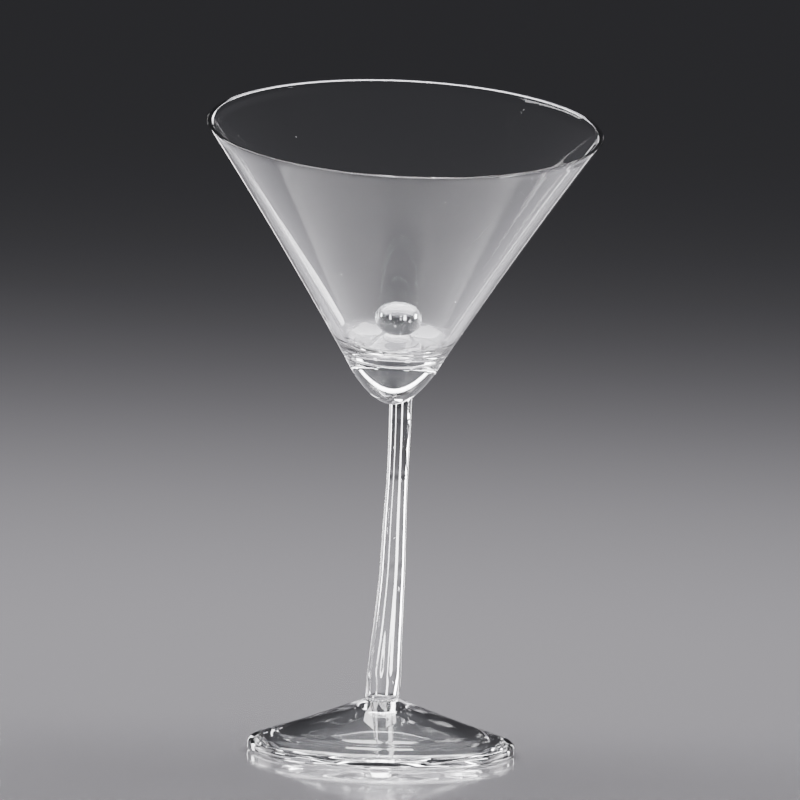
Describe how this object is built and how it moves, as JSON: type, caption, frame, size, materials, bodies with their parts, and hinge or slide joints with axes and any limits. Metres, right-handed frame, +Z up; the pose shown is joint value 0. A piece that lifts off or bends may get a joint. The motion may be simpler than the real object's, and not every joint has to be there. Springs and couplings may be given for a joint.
{
  "type": "martini glass",
  "caption": "Clear stemmed cocktail glass: leaning conical bowl with a bead on its floor, solid boss, crooked stem and conical foot.",
  "frame": {"origin": "centre of the foot's resting plane", "axes": "+Z up, from the foot to the rim; the bowl leans towards -Y and a little towards +X"},
  "size_m": [0.1091, 0.1072, 0.1844],
  "materials": {
    "bowl_glass": "clear, fire-polished",
    "boss_glass": "clear, solid",
    "stem_glass": "clear, drawn, with faint tool marks and seeds",
    "foot_glass": "clear, pressed, with faint spinning marks",
    "bead_glass": "clear, solid"
  },
  "bodies": {
    "root": {"foot": "foot_glass", "stem": "stem_glass", "boss": "boss_glass", "bowl": "bowl_glass", "floor_bead": "bead_glass"}
  },
  "joints": []
}
